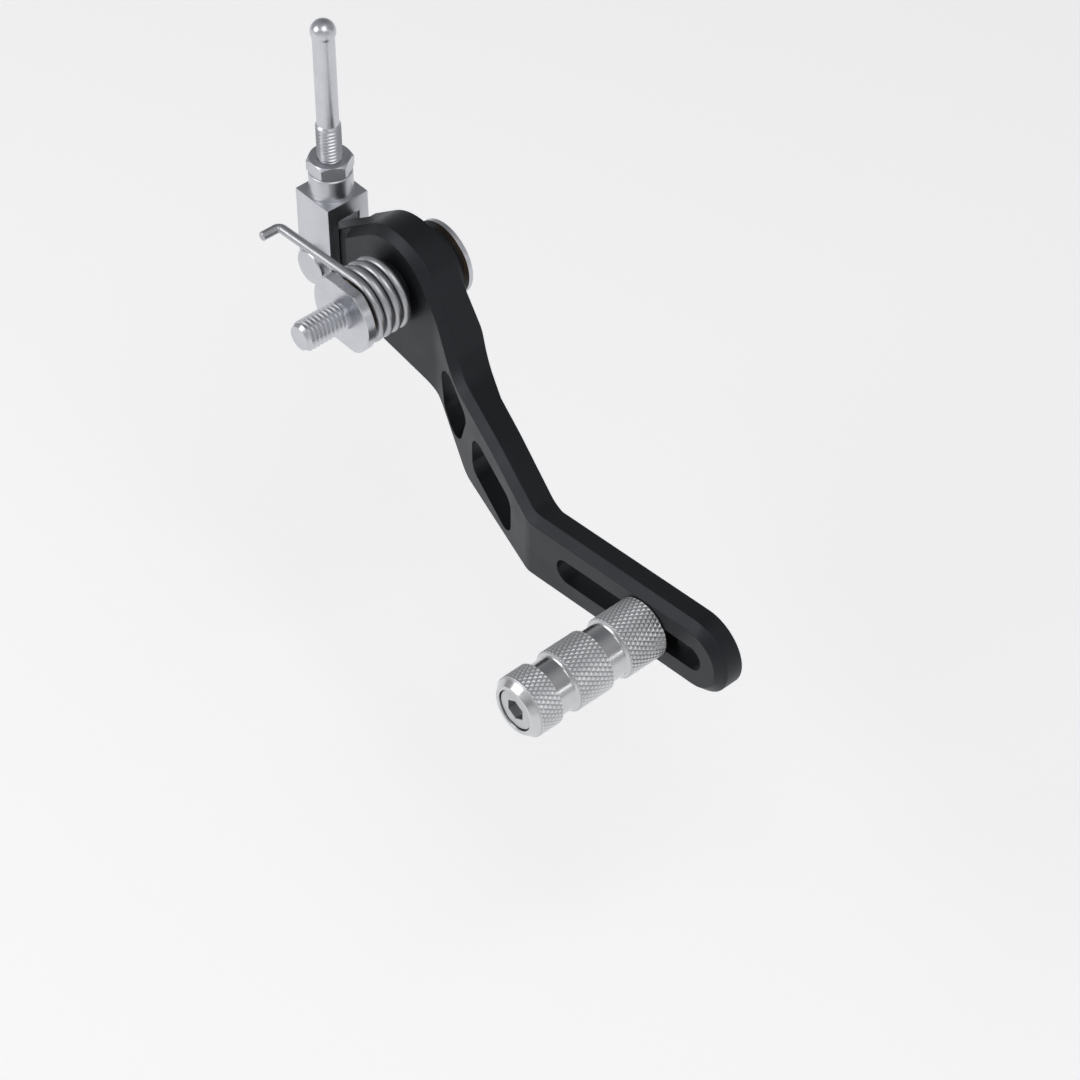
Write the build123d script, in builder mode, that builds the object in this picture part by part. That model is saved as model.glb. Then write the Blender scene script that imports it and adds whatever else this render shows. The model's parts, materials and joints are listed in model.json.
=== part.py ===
"""Rear brake pedal for the right-hand side of an adventure motorbike.

Millimetres. The pivot axis is the Y axis, and the origin is where it meets the face of the
bracket that the pivot pin is screwed into. +X points forward to the toe peg, +Y inboard, +Z up.
"""
import os
from math import acos, atan2, cos, radians, sin, sqrt, tan

from build123d import *

os.makedirs("parts", exist_ok=True)

# Toe peg: where its axis crosses the side view, and its own sizes
peg_x = 132.0
peg_z = -35.0
peg_length = 50.0
peg_radius = 10.0
peg_first_band = 13.4
peg_second_band = 12.4
peg_groove = 7.0
peg_groove_depth = 1.4
peg_groove_slope = 1.0
peg_end_slope = 2.5
peg_end_radius = 7.9
peg_recess = 0.5
peg_head_clear = 0.2

# Front section of the arm, measured along and across the slot from the peg axis
slot_tilt = 6.4
front_half_height = 12.8
front_thickness = 8.5
slot_width = 8.4
slot_ahead = 19.4
slot_behind = 34.0
elbow_top = 49.0
elbow_bottom = 52.8

# Slot nut and the counter-slot that it lies in, on the inner side
slot_nut_width = 13.0
slot_nut_travel = 6.0
slot_nut_proud = 3.0
counter_slot_depth = 3.0
counter_slot_clear = 0.2
screw_proud = 2.0

# Middle section of the arm in the side view: each corner's share of the way from the
# pivot to the peg, and its height
knee_top_share = 0.447
knee_top_z = -20.2
neck_top_share = 0.25
neck_top_z = -13.8
knee_bottom_share = 0.292
knee_bottom_z = -50.4
neck_bottom_share = 0.149
neck_bottom_z = -31.2
elbow_radius = 12.0
knee_radius = 40.0
neck_radius = 16.0
belly_radius = 12.0

# Front lightening hole: how far each corner lies behind or below an outline corner
front_hole_top_back = 12.0
front_hole_top_drop = 4.6
front_hole_rear_back = 14.7
front_hole_rear_drop = 5.6
front_hole_heel_ahead = 5.8
front_hole_heel_rise = 9.4
front_hole_toe_back = 11.2
front_hole_toe_rise = 5.3

# Rear lightening hole, in the same way
rear_hole_top_back = 10.5
rear_hole_top_rise = 3.3
rear_hole_front_ahead = 8.0
rear_hole_front_drop = 9.7
rear_hole_toe_back = 4.0
rear_hole_toe_rise = 9.4
rear_hole_heel_ahead = 5.8
rear_hole_heel_drop = 0.3
hole_radius = 4.5

# Plan view: the outer face steps inboard from the front section to the rear one.
# Each bend has its share of the way from the pivot to the peg.
front_face_y = 4.0
rear_face_y = 20.0
rear_thickness = 12.4
outer_bend_front_share = 0.612
outer_bend_rear_share = 0.159
inner_bend_front_share = 0.659
inner_bend_middle_share = 0.348
inner_bend_rear_share = 0.212
middle_thickness = 10.9
outer_bend_radius = 14.0
inner_bend_radius = 6.0

# Edge breaks of the arm
outer_chamfer = 2.7
fine_chamfer = 0.4
find_near = 1.0
cut_over = 1.0

# Pivot: pin, bushes, seals and washer
pin_radius = 6.0
stud_radius = 5.0
stud_length = 16.0
flange_radius = 13.0
flange_thickness = 3.5
flange_flats = 22.0
pivot_key = 6.0
pivot_key_depth = 5.0
seal_thickness = 1.2
bush_wall = 1.0
bush_flange = 1.0
bush_length = 12.0
nose_radius = 9.0
boss_radius = 13.0
boss_height = 5.6
hub_radius = 20.0
pivot_washer_thickness = 1.6
circlip_thickness = 1.0
circlip_depth = 0.6
circlip_width = 2.0
circlip_gap = 50.0
pin_end = 2.4
run_clear = 0.05
press_clear = 0.01
face_clear = 0.3

# Return spring
spring_wire = 3.0
spring_turns = 3.5
spring_clear = 0.5
spring_end_clear = 0.8
spring_arm_clear = 1.1
spring_leg = 34.0
spring_hook = 15.0
spring_hook_depth = 7.0
spring_hook_clear = 0.3
spring_bend = 1.8

# Ear of the arm and the clevis on it
ear_reach = 38.0
ear_angle = 200.0
ear_radius = 9.0
ear_thickness = 7.6
ear_step = 22.0
clevis_gap = 8.0
clevis_width = 16.0
clevis_fork = 20.0
clevis_shoulder = 26.0
clevis_length = 34.0
clevis_neck_radius = 7.0
clevis_pin_radius = 4.0
clevis_head_radius = 6.0
clevis_head_height = 2.5
clevis_washer_radius = 7.5
clevis_washer_thickness = 1.6
split_wire = 1.0
split_hole_radius = 1.25
split_margin = 1.6
split_tail = 3.4
split_splay = 1.1
split_bend = 0.8

# Pushrod, measured up from the clevis pin's axis
rod_foot = 18.0
rod_thread_end = 52.0
rod_shank_end = 82.0
rod_shank_radius = 3.5
rod_ball_radius = 4.0

# Standard metric parts of the M8 size
m8_radius = 4.0
m8_head_radius = 6.5
m8_head_height = 8.0
m8_socket = 6.0
m8_socket_depth = 4.0
socket_turn = 30.0
m8_flats = 13.0
m8_jam_height = 5.0
m8_lock_washer_radius = 6.35
m8_lock_washer_thickness = 2.0
m8_lock_washer_gap = 1.6
thread_clear = 0.05
hole_clear = 0.2
thread_lead = 0.7


def slot_point(along, across):
    """Side-view place of a point given along and across the slot from the peg axis."""
    tilt = radians(slot_tilt)
    x = peg_x + along * cos(tilt) - across * sin(tilt)
    z = peg_z + along * sin(tilt) + across * cos(tilt)
    return (x, z)


def on_circle(centre, radius, angle):
    """Point of a circle in the side view at an angle in radians."""
    return (centre[0] + radius * cos(angle), centre[1] + radius * sin(angle))


def touch_angle(point, centre, radius, side):
    """Angle at which a line from a point outside touches a circle, on the chosen side."""
    dx = point[0] - centre[0]
    dz = point[1] - centre[1]
    return atan2(dz, dx) + side * acos(radius / sqrt(dx * dx + dz * dz))


def shift(point, dx, dz):
    """Point moved forward and up in the side view."""
    return (point[0] + dx, point[1] + dz)


def side_plane(y):
    """Side-view plane at a place across the bike: its X is forward and its Y is up."""
    return Plane.XZ.offset(-y)


def outer_face_y(x):
    """Where the arm's outer face lies at a distance ahead of the pivot."""
    slope = (rear_face_y - front_face_y) / (outer_bend_front - outer_bend_rear)
    return min(rear_face_y, max(front_face_y, front_face_y + (outer_bend_front - x) * slope))


def near_corner(corners, point):
    """The one of the corners that is nearest to a place in the plan view."""
    return corners.sort_by_distance((point[0], point[1], 0))[0]


# Bends of the plan view, ahead of the pivot
outer_bend_front = outer_bend_front_share * peg_x
outer_bend_rear = outer_bend_rear_share * peg_x
inner_bend_front = inner_bend_front_share * peg_x
inner_bend_middle = inner_bend_middle_share * peg_x
inner_bend_rear = inner_bend_rear_share * peg_x

# Corners of the side outline
hub_centre = (0.0, 0.0)
ear_centre = on_circle(hub_centre, ear_reach, radians(ear_angle))
ear_y = rear_face_y + rear_thickness / 2
nose_top = slot_point(slot_ahead, front_half_height)
nose_tip = slot_point(slot_ahead + front_half_height, 0)
nose_bottom = slot_point(slot_ahead, -front_half_height)
elbow_top_point = slot_point(-elbow_top, front_half_height)
elbow_bottom_point = slot_point(-elbow_bottom, -front_half_height)
knee_top_point = (knee_top_share * peg_x, knee_top_z)
neck_top_point = (neck_top_share * peg_x, neck_top_z)
knee_bottom_point = (knee_bottom_share * peg_x, knee_bottom_z)
neck_bottom_point = (neck_bottom_share * peg_x, neck_bottom_z)
hub_front_angle = touch_angle(neck_top_point, hub_centre, hub_radius, 1)
hub_rear_angle = radians(ear_angle) - acos((hub_radius - ear_radius) / ear_reach)
ear_bottom_angle = touch_angle(neck_bottom_point, ear_centre, ear_radius, -1)

# Places along the pivot pin
hub_low = flange_thickness + seal_thickness + face_clear + bush_flange
hub_high = rear_face_y + rear_thickness + boss_height
seal_low = hub_high + bush_flange + face_clear
washer_low = seal_low + seal_thickness
circlip_low = washer_low + pivot_washer_thickness
pin_high = circlip_low + circlip_thickness + pin_end
bore_radius = pin_radius + run_clear + bush_wall

# Places along the peg
peg_outer_y = front_face_y - peg_length
first_groove_y = front_face_y - peg_first_band
second_band_y = first_groove_y - peg_groove
second_groove_y = second_band_y - peg_second_band
third_band_y = second_groove_y - peg_groove
head_top_y = peg_outer_y + peg_recess
head_foot_y = head_top_y + m8_head_height
lock_washer_foot_y = head_foot_y + m8_lock_washer_thickness
inner_face_y = front_face_y + front_thickness
slot_nut_foot_y = inner_face_y - counter_slot_depth
slot_nut_far_y = inner_face_y + slot_nut_proud
peg_axis = Axis((peg_x, 0, peg_z), (0, 1, 0))
peg_plane = Plane(origin=(peg_x, 0, peg_z), x_dir=(1, 0, 0), z_dir=(0, 0, 1))

# Corners of the plan view
front_end = nose_tip[0] + front_half_height
rear_end = ear_centre[0] - 2 * ear_radius
back_face_y = rear_face_y + rear_thickness
outer_front_bend = (outer_bend_front, front_face_y)
outer_rear_bend = (outer_bend_rear, rear_face_y)
inner_rear_bend = (inner_bend_rear, back_face_y)
inner_middle_bend = (inner_bend_middle, outer_face_y(inner_bend_middle) + middle_thickness)
inner_front_bend = (inner_bend_front, inner_face_y)

# Pedal arm: the plan view cut by the side outline, so it is milled from one bar
with BuildPart() as pedal_arm:
    with BuildSketch(Plane.XY.offset(knee_bottom_z - hub_radius)) as plan:
        with BuildLine():
            Polyline(
                (front_end, front_face_y),
                outer_front_bend,
                outer_rear_bend,
                (rear_end, rear_face_y),
                (rear_end, back_face_y),
                inner_rear_bend,
                inner_middle_bend,
                inner_front_bend,
                (front_end, inner_face_y),
                close=True,
            )
        make_face()
        for bend in (outer_front_bend, outer_rear_bend):
            fillet(near_corner(plan.vertices(), bend), outer_bend_radius)
        for bend in (inner_rear_bend, inner_middle_bend, inner_front_bend):
            fillet(near_corner(plan.vertices(), bend), inner_bend_radius)
    extrude(amount=2 * (hub_radius - knee_bottom_z))
    with BuildSketch(side_plane(0)) as outline:
        with BuildLine():
            ThreePointArc(nose_bottom, nose_tip, nose_top)
            Polyline(
                nose_top,
                elbow_top_point,
                knee_top_point,
                neck_top_point,
                on_circle(hub_centre, hub_radius, hub_front_angle),
            )
            ThreePointArc(
                on_circle(hub_centre, hub_radius, hub_front_angle),
                on_circle(hub_centre, hub_radius, (hub_front_angle + hub_rear_angle) / 2),
                on_circle(hub_centre, hub_radius, hub_rear_angle),
            )
            Line(
                on_circle(hub_centre, hub_radius, hub_rear_angle),
                on_circle(ear_centre, ear_radius, hub_rear_angle),
            )
            ThreePointArc(
                on_circle(ear_centre, ear_radius, hub_rear_angle),
                on_circle(ear_centre, ear_radius, radians(ear_angle)),
                on_circle(ear_centre, ear_radius, ear_bottom_angle),
            )
            Polyline(
                on_circle(ear_centre, ear_radius, ear_bottom_angle),
                neck_bottom_point,
                knee_bottom_point,
                elbow_bottom_point,
                nose_bottom,
            )
        make_face()
        for corner, radius in (
            (elbow_top_point, elbow_radius),
            (knee_top_point, knee_radius),
            (neck_top_point, neck_radius),
            (neck_bottom_point, neck_radius),
            (knee_bottom_point, belly_radius),
            (elbow_bottom_point, belly_radius),
        ):
            fillet(outline.vertices().sort_by_distance(corner)[0], radius)
    extrude(amount=-hub_high, mode=Mode.INTERSECT)

    # Broad chamfer round the outer face
    upright = pedal_arm.edges().filter_by(Axis.Z)
    outer_edges = [
        e
        for e in pedal_arm.edges()
        if e not in upright and abs(e.center().Y - outer_face_y(e.center().X)) < find_near
    ]
    chamfer(outer_edges, outer_chamfer)

    # Hub: spring nose outboard, boss inboard
    with Locations(side_plane(hub_low)):
        Cylinder(nose_radius, hub_high - hub_low, align=(Align.CENTER, Align.CENTER, Align.MAX))
    with Locations(side_plane(hub_high - boss_height)):
        Cylinder(boss_radius, boss_height, align=(Align.CENTER, Align.CENTER, Align.MAX))
    with Locations(side_plane(0)):
        Cylinder(bore_radius, hub_high, align=(Align.CENTER, Align.CENTER, Align.MAX), mode=Mode.SUBTRACT)

    # Slot for the peg's screw, with a wider counter-slot for its nut on the inner side
    slot_middle = slot_point((slot_ahead - slot_behind) / 2, 0)
    slot_travel = slot_ahead + slot_behind
    with BuildSketch(side_plane(0)):
        with Locations(slot_middle):
            SlotCenterToCenter(slot_travel, slot_width, rotation=slot_tilt)
    extrude(amount=-hub_high, mode=Mode.SUBTRACT)
    with BuildSketch(side_plane(slot_nut_foot_y)):
        with Locations(slot_middle):
            SlotCenterToCenter(
                slot_travel + slot_nut_travel,
                slot_nut_width + 2 * counter_slot_clear,
                rotation=slot_tilt,
            )
    extrude(amount=-hub_high, mode=Mode.SUBTRACT)

    # Two lightening holes
    with BuildSketch(side_plane(0)) as holes:
        with BuildLine():
            Polyline(
                shift(elbow_top_point, -front_hole_top_back, -front_hole_top_drop),
                shift(knee_top_point, -front_hole_rear_back, -front_hole_rear_drop),
                shift(knee_bottom_point, front_hole_heel_ahead, front_hole_heel_rise),
                shift(elbow_bottom_point, -front_hole_toe_back, front_hole_toe_rise),
                close=True,
            )
        make_face()
        with BuildLine():
            Polyline(
                shift(neck_top_point, -rear_hole_top_back, rear_hole_top_rise),
                shift(neck_top_point, rear_hole_front_ahead, -rear_hole_front_drop),
                shift(knee_bottom_point, -rear_hole_toe_back, rear_hole_toe_rise),
                shift(neck_bottom_point, rear_hole_heel_ahead, -rear_hole_heel_drop),
                close=True,
            )
        make_face()
        fillet(holes.vertices(), hole_radius)
    extrude(amount=-hub_high, mode=Mode.SUBTRACT)

    # Ear milled thin from both sides for the clevis, and drilled for its pin
    ear_room = (rear_thickness - ear_thickness) / 2
    for low in (rear_face_y - cut_over, back_face_y - ear_room):
        with Locations((-ear_step, low, hub_centre[1])):
            Box(
                ear_reach,
                ear_room + cut_over,
                4 * hub_radius,
                align=(Align.MAX, Align.MIN, Align.CENTER),
                mode=Mode.SUBTRACT,
            )
    with BuildSketch(side_plane(0)):
        with Locations(ear_centre):
            Circle(clevis_pin_radius + run_clear)
        with Locations((-spring_hook, -(nose_radius + spring_clear + spring_wire / 2))):
            Circle(spring_wire / 2 + spring_hook_clear)
    extrude(amount=-hub_high, mode=Mode.SUBTRACT)
pedal_arm.part.label = "pedal_arm"
export_step(pedal_arm.part, "parts/pedal_arm.step")

# Toe peg: turned bar with two grooves, its outer end bored for the screw's head
with BuildPart() as toe_peg:
    floor_radius = peg_radius - peg_groove_depth
    with BuildSketch(peg_plane):
        with BuildLine():
            Polyline(
                (0, front_face_y),
                (peg_radius - fine_chamfer, front_face_y),
                (peg_radius, front_face_y - fine_chamfer),
                (peg_radius, first_groove_y),
                (floor_radius, first_groove_y - peg_groove_slope),
                (floor_radius, second_band_y + fine_chamfer),
                (peg_radius, second_band_y),
                (peg_radius, second_groove_y),
                (floor_radius, second_groove_y - peg_groove_slope),
                (floor_radius, third_band_y + fine_chamfer),
                (peg_radius, third_band_y),
                (peg_radius, peg_outer_y + peg_end_slope),
                (peg_end_radius, peg_outer_y),
                (0, peg_outer_y),
                close=True,
            )
        make_face()
    revolve(axis=peg_axis)
    with BuildSketch(side_plane(front_face_y)):
        with Locations((peg_x, peg_z)):
            Circle(m8_radius + hole_clear)
    extrude(amount=peg_length, mode=Mode.SUBTRACT)
    with BuildSketch(side_plane(lock_washer_foot_y)):
        with Locations((peg_x, peg_z)):
            Circle(m8_head_radius + peg_head_clear)
    extrude(amount=peg_length, mode=Mode.SUBTRACT)
toe_peg.part.label = "toe_peg"
export_step(toe_peg.part, "parts/toe_peg.step")

# Cap screw with a hexagon socket, which clamps the peg through the slot
with BuildPart() as peg_screw:
    screw_end_y = slot_nut_far_y + screw_proud
    with BuildSketch(peg_plane):
        with BuildLine():
            Polyline(
                (0, head_top_y),
                (m8_head_radius - fine_chamfer, head_top_y),
                (m8_head_radius, head_top_y + fine_chamfer),
                (m8_head_radius, head_foot_y),
                (m8_radius, head_foot_y),
                (m8_radius, screw_end_y - thread_lead),
                (m8_radius - thread_lead, screw_end_y),
                (0, screw_end_y),
                close=True,
            )
        make_face()
    revolve(axis=peg_axis)
    with BuildSketch(side_plane(head_top_y)):
        with Locations((peg_x, peg_z)):
            RegularPolygon(m8_socket / 2, 6, major_radius=False, rotation=socket_turn)
    extrude(amount=-m8_socket_depth, mode=Mode.SUBTRACT)
peg_screw.part.label = "peg_screw"
export_step(peg_screw.part, "parts/peg_screw.step")

# Split lock washer under the screw's head
with BuildPart() as peg_lock_washer:
    with BuildSketch(side_plane(head_foot_y)):
        with Locations((peg_x, peg_z)):
            Circle(m8_lock_washer_radius)
            Circle(m8_radius + thread_clear, mode=Mode.SUBTRACT)
        with Locations((peg_x, peg_z + m8_lock_washer_radius)):
            Rectangle(m8_lock_washer_gap, 2 * m8_radius, mode=Mode.SUBTRACT)
    extrude(amount=-m8_lock_washer_thickness)
peg_lock_washer.part.label = "peg_lock_washer"
export_step(peg_lock_washer.part, "parts/peg_lock_washer.step")

# Slot nut: a plate with round ends that can't turn in the counter-slot
with BuildPart() as slot_nut:
    with BuildSketch(side_plane(slot_nut_foot_y)):
        with Locations((peg_x, peg_z)):
            SlotCenterToCenter(slot_nut_travel, slot_nut_width, rotation=slot_tilt)
            Circle(m8_radius + thread_clear, mode=Mode.SUBTRACT)
    extrude(amount=slot_nut_foot_y - slot_nut_far_y)
    chamfer(slot_nut.faces().sort_by(Axis.Y)[-1].edges(), fine_chamfer)
slot_nut.part.label = "slot_nut"
export_step(slot_nut.part, "parts/slot_nut.step")

# Pivot pin: threaded stud, flange with two flats, journal, clip groove and key socket
with BuildPart() as pivot_pin:
    with BuildSketch(Plane.XY):
        with BuildLine():
            Polyline(
                (0, -stud_length),
                (stud_radius - thread_lead, -stud_length),
                (stud_radius, thread_lead - stud_length),
                (stud_radius, 0),
                (flange_radius - fine_chamfer, 0),
                (flange_radius, fine_chamfer),
                (flange_radius, flange_thickness - fine_chamfer),
                (flange_radius - fine_chamfer, flange_thickness),
                (pin_radius, flange_thickness),
                (pin_radius, circlip_low),
                (pin_radius - circlip_depth, circlip_low),
                (pin_radius - circlip_depth, circlip_low + circlip_thickness),
                (pin_radius, circlip_low + circlip_thickness),
                (pin_radius, pin_high - thread_lead),
                (pin_radius - thread_lead, pin_high),
                (0, pin_high),
                close=True,
            )
        make_face()
    revolve(axis=Axis.Y)
    with BuildSketch(side_plane(0)):
        with GridLocations(0, flange_flats + flange_radius, 1, 2):
            Rectangle(3 * flange_radius, flange_radius)
    extrude(amount=-flange_thickness, mode=Mode.SUBTRACT)
    with BuildSketch(side_plane(pin_high)):
        RegularPolygon(pivot_key / 2, 6, major_radius=False, rotation=socket_turn)
    extrude(amount=pivot_key_depth, mode=Mode.SUBTRACT)
pivot_pin.part.label = "pivot_pin"
export_step(pivot_pin.part, "parts/pivot_pin.step")

# Flanged bushes pressed into both ends of the hub
for name, face_y, inward in (("outboard_bush", hub_low, -1), ("inboard_bush", hub_high, 1)):
    with BuildPart() as bush:
        with BuildSketch(side_plane(face_y)):
            Circle(bore_radius - press_clear)
            Circle(pin_radius + run_clear, mode=Mode.SUBTRACT)
        extrude(amount=inward * bush_length)
        with BuildSketch(side_plane(face_y)):
            Circle(nose_radius)
            Circle(pin_radius + run_clear, mode=Mode.SUBTRACT)
        extrude(amount=-inward * bush_flange)
    bush.part.label = name
    export_step(bush.part, f"parts/{name}.step")

# Rubber seals that keep dirt out of the bushes
for name, low in (("outboard_dust_seal", flange_thickness), ("inboard_dust_seal", seal_low)):
    with BuildPart() as seal:
        with BuildSketch(side_plane(low)):
            Circle(nose_radius)
            Circle(pin_radius + run_clear, mode=Mode.SUBTRACT)
        extrude(amount=-seal_thickness)
    seal.part.label = name
    export_step(seal.part, f"parts/{name}.step")

# Thrust washer that keeps the pedal on its pin
with BuildPart() as pivot_washer:
    with BuildSketch(side_plane(washer_low)):
        Circle(boss_radius - fine_chamfer)
        Circle(pin_radius + run_clear, mode=Mode.SUBTRACT)
    extrude(amount=-pivot_washer_thickness)
pivot_washer.part.label = "pivot_washer"
export_step(pivot_washer.part, "parts/pivot_washer.step")

# Retaining ring in the pin's groove, open on one side
with BuildPart() as pivot_circlip:
    with BuildSketch(side_plane(circlip_low)):
        clip_inner = pin_radius - circlip_depth + press_clear
        Circle(clip_inner + circlip_width)
        Circle(clip_inner, mode=Mode.SUBTRACT)
        gap_half = 2 * hub_radius * tan(radians(circlip_gap / 2))
        with BuildLine():
            Polyline(
                (0, 0),
                (-gap_half, -2 * hub_radius),
                (gap_half, -2 * hub_radius),
                close=True,
            )
        make_face(mode=Mode.SUBTRACT)
    extrude(amount=-circlip_thickness)
pivot_circlip.part.label = "pivot_circlip"
export_step(pivot_circlip.part, "parts/pivot_circlip.step")

# Torsion spring round the hub's nose, one end in the arm, the other for the bracket
coil_radius = nose_radius + spring_clear + spring_wire / 2
coil_low = flange_thickness + spring_end_clear + spring_wire / 2
coil_high = rear_face_y - spring_arm_clear - spring_wire / 2
with BuildPart() as return_spring:
    with BuildLine() as coil:
        Helix(
            (coil_high - coil_low) / spring_turns,
            coil_high - coil_low,
            coil_radius,
            center=(0, coil_low, 0),
            direction=(0, 1, 0),
        )
    with BuildSketch(Plane(origin=coil.line @ 0, z_dir=coil.line % 0)):
        Circle(spring_wire / 2)
    sweep(path=coil.line, is_frenet=True)
    hook_corner = coil.line @ 1 + (coil.line % 1) * spring_hook
    with BuildLine() as hook_leg:
        FilletPolyline(
            coil.line @ 1,
            hook_corner,
            hook_corner + Vector(0, spring_hook_depth, 0),
            radius=spring_bend,
        )
    with BuildSketch(Plane(origin=hook_leg.line @ 0, z_dir=hook_leg.line % 0)):
        Circle(spring_wire / 2)
    sweep(path=hook_leg.line)
    bracket_corner = coil.line @ 0 - (coil.line % 0) * spring_leg
    with BuildLine() as bracket_leg:
        FilletPolyline(
            coil.line @ 0,
            bracket_corner,
            bracket_corner - Vector(0, spring_hook_depth, 0),
            radius=spring_bend,
        )
    with BuildSketch(Plane(origin=bracket_leg.line @ 0, z_dir=bracket_leg.line % 0)):
        Circle(spring_wire / 2)
    sweep(path=bracket_leg.line)
return_spring.part.label = "return_spring"
export_step(return_spring.part, "parts/return_spring.step")

# Clevis: square fork with a round neck, straddling the ear
clevis_low = ear_y - clevis_width / 2
rod_axis = Axis((ear_centre[0], ear_y, 0), (0, 0, 1))
rod_plane = Plane(origin=(ear_centre[0], ear_y, ear_centre[1]), x_dir=(1, 0, 0), z_dir=(0, -1, 0))
with BuildPart() as pushrod_clevis:
    with BuildSketch(side_plane(clevis_low)):
        with Locations(ear_centre):
            Circle(clevis_width / 2)
            Rectangle(clevis_width, clevis_shoulder, align=(Align.CENTER, Align.MIN))
    extrude(amount=-clevis_width)
    with BuildSketch(rod_plane):
        with BuildLine():
            Polyline(
                (0, clevis_fork),
                (clevis_neck_radius, clevis_fork),
                (clevis_neck_radius, clevis_length - fine_chamfer),
                (clevis_neck_radius - fine_chamfer, clevis_length),
                (0, clevis_length),
                close=True,
            )
        make_face()
    revolve(axis=rod_axis)
    with Locations((ear_centre[0], ear_y, ear_centre[1] + clevis_fork)):
        Box(
            2 * clevis_width,
            clevis_gap,
            2 * clevis_width,
            align=(Align.CENTER, Align.CENTER, Align.MAX),
            mode=Mode.SUBTRACT,
        )
        Cylinder(
            m8_radius + thread_clear,
            clevis_length,
            align=(Align.CENTER, Align.CENTER, Align.MIN),
            mode=Mode.SUBTRACT,
        )
    with BuildSketch(side_plane(clevis_low)):
        with Locations(ear_centre):
            Circle(clevis_pin_radius + run_clear)
    extrude(amount=-clevis_width, mode=Mode.SUBTRACT)
pushrod_clevis.part.label = "pushrod_clevis"
export_step(pushrod_clevis.part, "parts/pushrod_clevis.step")

# Headed pin through the fork and the ear, cross-drilled for the split pin
clevis_washer_low = clevis_low + clevis_width
split_y = clevis_washer_low + clevis_washer_thickness + hole_clear + split_hole_radius
clevis_pin_high = split_y + split_hole_radius + split_margin
pin_axis = Axis((ear_centre[0], 0, ear_centre[1]), (0, 1, 0))
pin_plane = Plane(origin=(ear_centre[0], 0, ear_centre[1]), x_dir=(1, 0, 0), z_dir=(0, 0, 1))
with BuildPart() as clevis_pin:
    with BuildSketch(pin_plane):
        with BuildLine():
            Polyline(
                (0, clevis_low - clevis_head_height),
                (clevis_head_radius - fine_chamfer, clevis_low - clevis_head_height),
                (clevis_head_radius, clevis_low - clevis_head_height + fine_chamfer),
                (clevis_head_radius, clevis_low),
                (clevis_pin_radius, clevis_low),
                (clevis_pin_radius, clevis_pin_high - thread_lead),
                (clevis_pin_radius - thread_lead, clevis_pin_high),
                (0, clevis_pin_high),
                close=True,
            )
        make_face()
    revolve(axis=pin_axis)
    with Locations((ear_centre[0], split_y, ear_centre[1])):
        Cylinder(split_hole_radius, 4 * clevis_pin_radius, mode=Mode.SUBTRACT)
clevis_pin.part.label = "clevis_pin"
export_step(clevis_pin.part, "parts/clevis_pin.step")

# Washer between the fork and the split pin
with BuildPart() as clevis_washer:
    with BuildSketch(side_plane(clevis_washer_low)):
        with Locations(ear_centre):
            Circle(clevis_washer_radius)
            Circle(clevis_pin_radius + run_clear, mode=Mode.SUBTRACT)
    extrude(amount=-clevis_washer_thickness)
clevis_washer.part.label = "clevis_washer"
export_step(clevis_washer.part, "parts/clevis_washer.step")

# Split pin: one bent wire with an eye above the pin and two spread tails below it
split_half = split_wire / 2 + thread_clear
split_top = clevis_pin_radius + hole_clear + split_wire / 2
split_foot = -clevis_pin_radius - split_wire
split_plane = Plane(
    origin=(ear_centre[0], split_y, ear_centre[1]), x_dir=(1, 0, 0), z_dir=(0, -1, 0)
)
with BuildPart() as clevis_split_pin:
    with BuildLine(split_plane) as bent_wire:
        FilletPolyline(
            (-split_half - split_tail, split_foot - split_splay),
            (-split_half, split_foot),
            (-split_half, split_top),
            (-split_half - split_wire, split_top + 2 * split_wire),
            (0, split_top + 4 * split_wire),
            (split_half + split_wire, split_top + 2 * split_wire),
            (split_half, split_top),
            (split_half, split_foot),
            (split_half + split_tail, split_foot - split_splay),
            radius=split_bend,
        )
    with BuildSketch(Plane(origin=bent_wire.line @ 0, z_dir=bent_wire.line % 0)):
        Circle(split_wire / 2)
    sweep(path=bent_wire.line)
clevis_split_pin.part.label = "clevis_split_pin"
export_step(clevis_split_pin.part, "parts/clevis_split_pin.step")

# Pushrod: threaded foot in the clevis, plain shank, ball end for the brake cylinder
with BuildPart() as pushrod:
    with BuildSketch(rod_plane):
        with BuildLine():
            Polyline(
                (0, rod_foot),
                (m8_radius - thread_lead, rod_foot),
                (m8_radius, rod_foot + thread_lead),
                (m8_radius, rod_thread_end - thread_lead),
                (rod_shank_radius, rod_thread_end),
                (rod_shank_radius, rod_shank_end + rod_ball_radius),
                (0, rod_shank_end + rod_ball_radius),
                close=True,
            )
        make_face()
    revolve(axis=rod_axis)
    with Locations((ear_centre[0], ear_y, ear_centre[1] + rod_shank_end + rod_ball_radius)):
        Sphere(rod_ball_radius)
pushrod.part.label = "pushrod"
export_step(pushrod.part, "parts/pushrod.step")

# Thin nut that locks the pushrod in the clevis
with BuildPart() as pushrod_lock_nut:
    with BuildSketch(Plane.XY.offset(ear_centre[1] + clevis_length)):
        with Locations((ear_centre[0], ear_y)):
            RegularPolygon(m8_flats / 2, 6, major_radius=False)
            Circle(m8_radius + thread_clear, mode=Mode.SUBTRACT)
    extrude(amount=m8_jam_height)
pushrod_lock_nut.part.label = "pushrod_lock_nut"
export_step(pushrod_lock_nut.part, "parts/pushrod_lock_nut.step")
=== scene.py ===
"""Looks of a rear brake pedal: a milled black arm with a knurled toe peg, its pivot and its pushrod."""

import json
import math

import bpy
from mathutils import Matrix, Vector

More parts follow.
